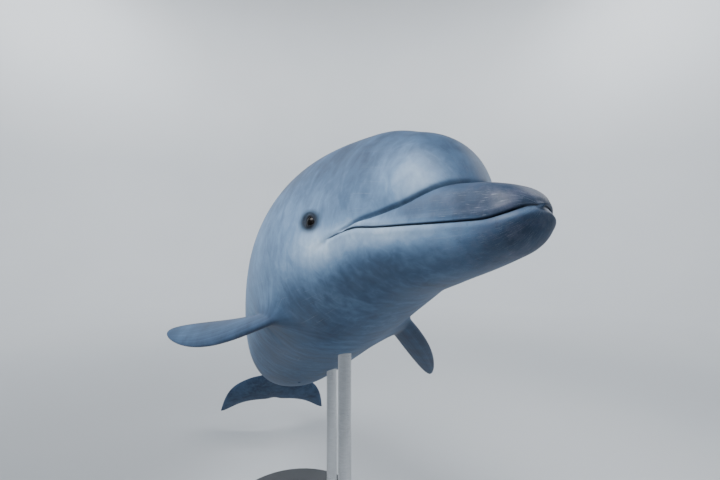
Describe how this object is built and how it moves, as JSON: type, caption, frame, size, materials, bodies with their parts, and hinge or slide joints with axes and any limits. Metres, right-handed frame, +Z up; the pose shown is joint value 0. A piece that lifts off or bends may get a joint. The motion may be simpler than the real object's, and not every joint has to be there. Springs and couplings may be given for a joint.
{
  "type": "bottlenose dolphin",
  "caption": "Still, life-size bottlenose dolphin swimming nose-up with bent tail, held on a flat base by upright rods.",
  "frame": {"origin": "centre of the stand base's underside, where it rests on the floor", "axes": "+Z up; -Y the way the head faces; +X towards the animal's left side"},
  "size_m": [1.1155, 2.1934, 1.3808],
  "materials": {
    "skin_back": "smooth, slightly glossy wet skin, slate blue-grey",
    "skin_belly": "smooth, slightly glossy wet skin, pale grey",
    "eye": "glossy, near black",
    "stand_metal": "brushed",
    "stand_paint": "satin"
  },
  "bodies": {
    "root": {"beak_upper": "skin_back", "lower_jaw": "skin_belly", "head": "skin_back", "eye_left": "eye", "eye_right": "eye", "chest": "skin_back", "trunk": "skin_back", "tail_stock": "skin_back", "fluke_left": "skin_back", "fluke_right": "skin_back", "flipper_left": "skin_back", "flipper_right": "skin_back", "dorsal_fin": "skin_back", "stand_base": "stand_paint", "stand_rod_front": "stand_metal", "stand_rod_rear": "stand_metal", "stand_collar_front": "stand_metal", "stand_collar_rear": "stand_metal"}
  },
  "joints": []
}
